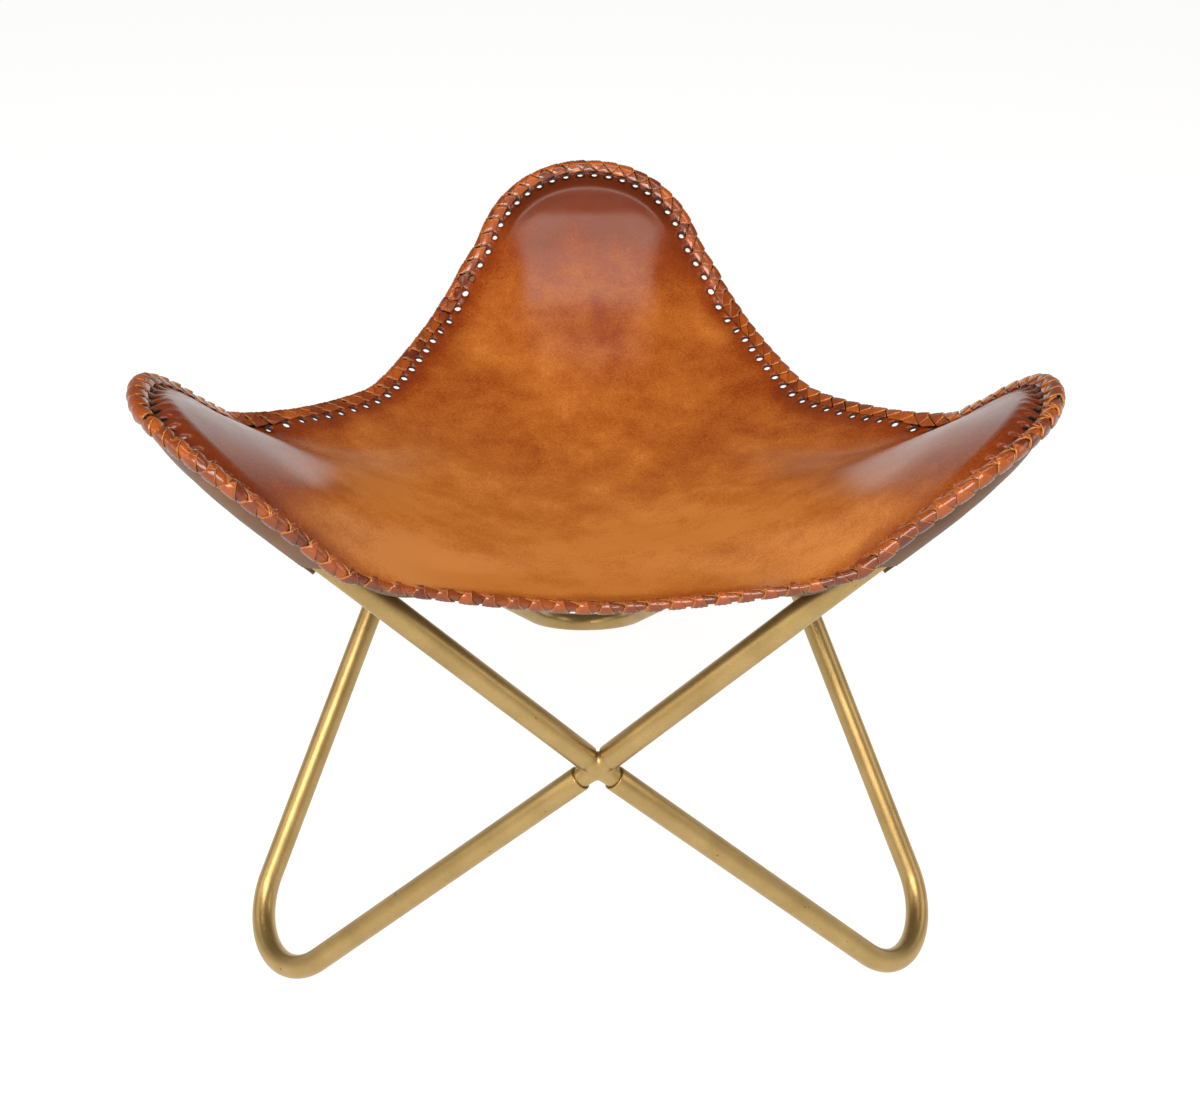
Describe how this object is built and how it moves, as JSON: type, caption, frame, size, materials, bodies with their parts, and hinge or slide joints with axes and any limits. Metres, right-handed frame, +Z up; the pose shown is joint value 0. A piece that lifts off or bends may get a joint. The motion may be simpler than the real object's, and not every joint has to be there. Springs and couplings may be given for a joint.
{
  "type": "butterfly sling stool",
  "caption": "Low three-cornered sling stool: a laced tan leather seat hung by pockets from bent upper tubes, which push onto welded crosses with bent foot tubes in a gold finish.",
  "frame": {"origin": "on the floor, in the middle of the bounding box; the frame's own three-fold axis is 42 mm towards the front from it", "axes": "+Z up, +Y towards the back corner, +X to the right as seen from the front"},
  "size_m": [0.527, 0.4862, 0.4458],
  "materials": {
    "gold_powder_coat": "satin metallic antique gold powder coat on steel tube",
    "tan_leather": "burnished, polished full-grain tan leather with darker edges",
    "pocket_leather": "brown leather of the corner pockets under the seat",
    "lace_leather": "tan leather lace, laced through punched holes as a braid"
  },
  "bodies": {
    "root": {"upper_tube_back": "gold_powder_coat", "foot_tube_back": "gold_powder_coat", "pocket_back": "pocket_leather", "upper_tube_left": "gold_powder_coat", "foot_tube_left": "gold_powder_coat", "pocket_left": "pocket_leather", "upper_tube_right": "gold_powder_coat", "foot_tube_right": "gold_powder_coat", "pocket_right": "pocket_leather", "cross_joint_left": "gold_powder_coat", "edge_lacing_left": "lace_leather", "cross_joint_front": "gold_powder_coat", "edge_lacing_front": "lace_leather", "cross_joint_right": "gold_powder_coat", "edge_lacing_right": "lace_leather", "sling_seat": "tan_leather"}
  },
  "joints": []
}
